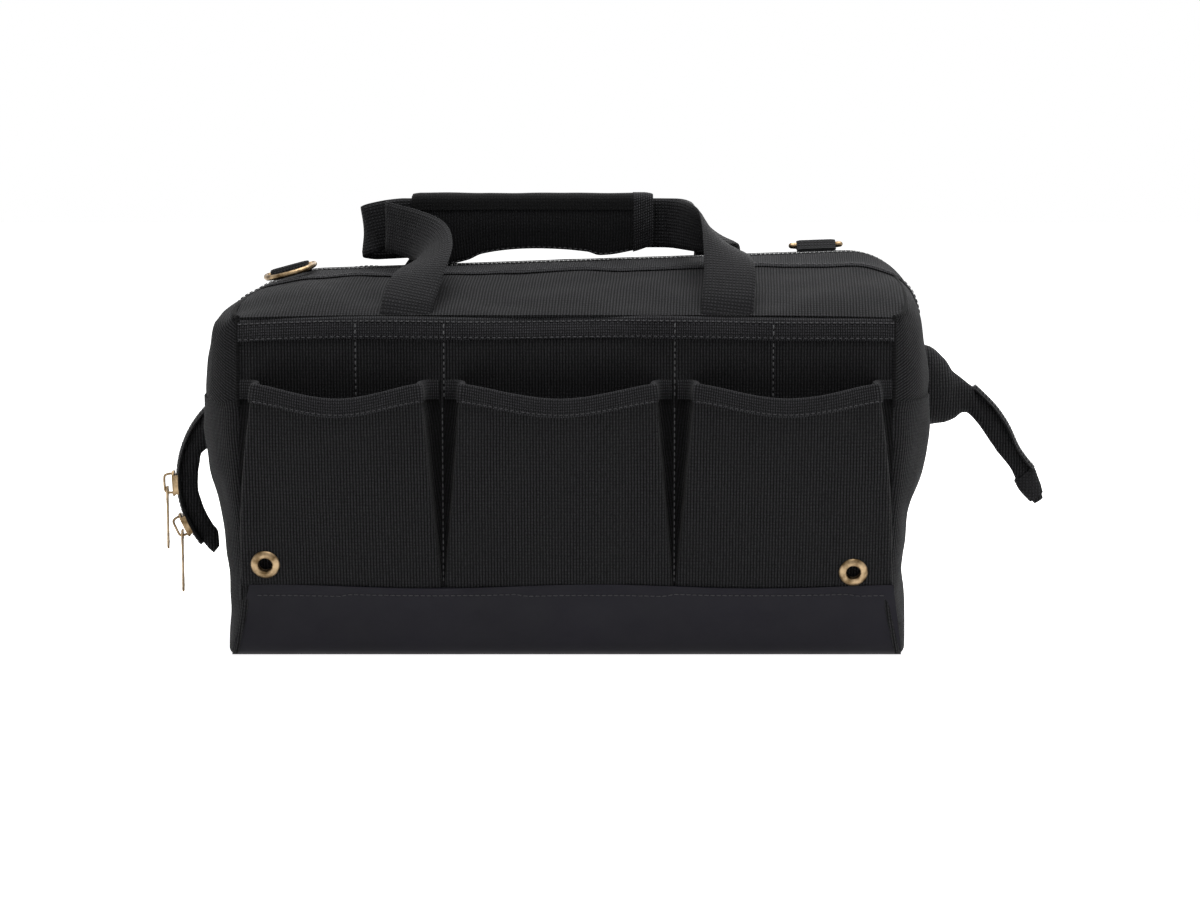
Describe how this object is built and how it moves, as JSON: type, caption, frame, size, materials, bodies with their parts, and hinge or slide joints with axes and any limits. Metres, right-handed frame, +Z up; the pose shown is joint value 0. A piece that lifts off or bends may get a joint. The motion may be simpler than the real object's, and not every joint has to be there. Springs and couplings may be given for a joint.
{
  "type": "zippered tool bag",
  "caption": "Wide-mouth black canvas tool bag with a coated base, steel mouth frame, bellows pockets, padded webbing grip, D-rings and zip tails.",
  "frame": {"origin": "centre of the flat underside of the base", "axes": "+X to the right end seen from the front, +Y to the back, +Z up"},
  "size_m": [0.5587, 0.282, 0.2721],
  "materials": {
    "canvas": "matt cotton duck",
    "coated_base": "smooth coated nylon",
    "webbing": "coarse woven webbing",
    "zip": "moulded teeth on woven tape",
    "board": "stiff sheet",
    "foam": "closed-cell foam",
    "steel": "plated rod",
    "brass": "antique brass plate"
  },
  "bodies": {
    "bag_body": {"base_tray": "coated_base", "base_board": "board", "left_end_wall": "canvas", "right_end_wall": "canvas", "front_wall": "canvas", "back_wall": "canvas", "front_roof": "canvas", "back_roof": "canvas", "left_front_gusset": "canvas", "left_back_gusset": "canvas", "right_front_gusset": "canvas", "right_back_gusset": "canvas", "front_slip_pocket": "canvas", "back_slip_pocket": "canvas", "front_slip_binding": "canvas", "back_slip_binding": "canvas", "front_pocket_left": "canvas", "front_pocket_centre": "canvas", "front_pocket_right": "canvas", "back_pocket_left": "canvas", "back_pocket_centre": "canvas", "back_pocket_right": "canvas", "front_binding_left": "canvas", "front_binding_centre": "canvas", "front_binding_right": "canvas", "back_binding_left": "canvas", "back_binding_centre": "canvas", "back_binding_right": "canvas", "front_left_strap_leg": "webbing", "front_right_strap_leg": "webbing", "back_left_strap_leg": "webbing", "back_right_strap_leg": "webbing", "left_eyelet": "brass", "right_eyelet": "brass", "left_hinge_rivet": "steel", "right_hinge_rivet": "steel"},
    "front_mouth": {"front_frame_rod": "steel", "front_zip_tape": "webbing", "front_zip_teeth": "zip", "front_ring_tab": "webbing"},
    "back_mouth": {"back_frame_rod": "steel", "back_zip_tape": "webbing", "back_zip_teeth": "zip", "back_ring_tab": "webbing"},
    "front_ring": {"front_d_ring": "brass"},
    "back_ring": {"back_d_ring": "brass"},
    "front_handle": {"front_handle_strap": "webbing"},
    "back_handle": {"back_handle_strap": "webbing", "grip_back": "canvas"},
    "grip_wrap": {"grip_flap": "canvas", "grip_pad": "foam"},
    "left_tail_end": {"left_tail": "canvas", "left_tail_chain": "zip"},
    "right_tail_end": {"right_tail": "canvas", "right_tail_chain": "zip"},
    "slider_upper": {"upper_slider": "brass"},
    "slider_lower": {"lower_slider": "brass"},
    "pull_upper": {"upper_pull": "brass"},
    "pull_lower": {"lower_pull": "brass"}
  },
  "joints": [
    {"name": "front_mouth_open", "type": "hinge", "parent": "bag_body", "child": "front_mouth", "pos_m": [0, 0, 0.146], "axis": [1, 0, 0], "range_deg": [0, 60], "deforming": ["front_roof", "left_front_gusset", "right_front_gusset"]},
    {"name": "back_mouth_open", "type": "hinge", "parent": "bag_body", "child": "back_mouth", "pos_m": [0, 0, 0.146], "axis": [-1, 0, 0], "range_deg": [0, 60], "deforming": ["back_roof", "left_back_gusset", "right_back_gusset"]},
    {"name": "front_ring_swing", "type": "hinge", "parent": "front_mouth", "child": "front_ring", "pos_m": [-0.172, -0.0145, 0.22498], "axis": [-0.9659, 0, -0.2588], "range_deg": [0, 160]},
    {"name": "back_ring_swing", "type": "hinge", "parent": "back_mouth", "child": "back_ring", "pos_m": [0.156, 0.0145, 0.23907], "axis": [0.9994, 0, 0.0349], "range_deg": [0, 160]},
    {"name": "front_handle_swing", "type": "hinge", "parent": "bag_body", "child": "front_handle", "pos_m": [0, -0.113, 0.205], "axis": [1, 0, 0], "range_deg": [0, 190]},
    {"name": "back_handle_swing", "type": "hinge", "parent": "bag_body", "child": "back_handle", "pos_m": [0, 0.113, 0.205], "axis": [-1, 0, 0], "range_deg": [0, 190]},
    {"name": "grip_wrap_open", "type": "hinge", "parent": "back_handle", "child": "grip_wrap", "pos_m": [0, 0.0077, 0.2691], "axis": [-1, 0, 0], "range_deg": [0, 150], "deforming": ["grip_flap", "grip_pad"]},
    {"name": "left_tail_lift", "type": "hinge", "parent": "bag_body", "child": "left_tail_end", "pos_m": [-0.2228, 0, 0.144], "axis": [0, 1, 0], "range_deg": [0, 70]},
    {"name": "right_tail_lift", "type": "hinge", "parent": "bag_body", "child": "right_tail_end", "pos_m": [0.2241, 0, 0.173], "axis": [0, -1, 0], "range_deg": [0, 60]},
    {"name": "upper_slider_run", "type": "hinge", "parent": "left_tail_end", "child": "slider_upper", "pos_m": [-0.18093, 0, 0.09193], "axis": [0, 1, 0], "range_deg": [0, 38]},
    {"name": "lower_slider_run", "type": "hinge", "parent": "left_tail_end", "child": "slider_lower", "pos_m": [-0.18093, 0, 0.09193], "axis": [0, 1, 0], "range_deg": [-9, 1]},
    {"name": "upper_pull_swing", "type": "hinge", "parent": "slider_upper", "child": "pull_upper", "pos_m": [-0.25322, 0, 0.08365], "axis": [0, 1, 0], "range_deg": [0, 50]},
    {"name": "lower_pull_swing", "type": "hinge", "parent": "slider_lower", "child": "pull_lower", "pos_m": [-0.24425, 0, 0.05608], "axis": [0, 1, 0], "range_deg": [-15, 25]}
  ]
}
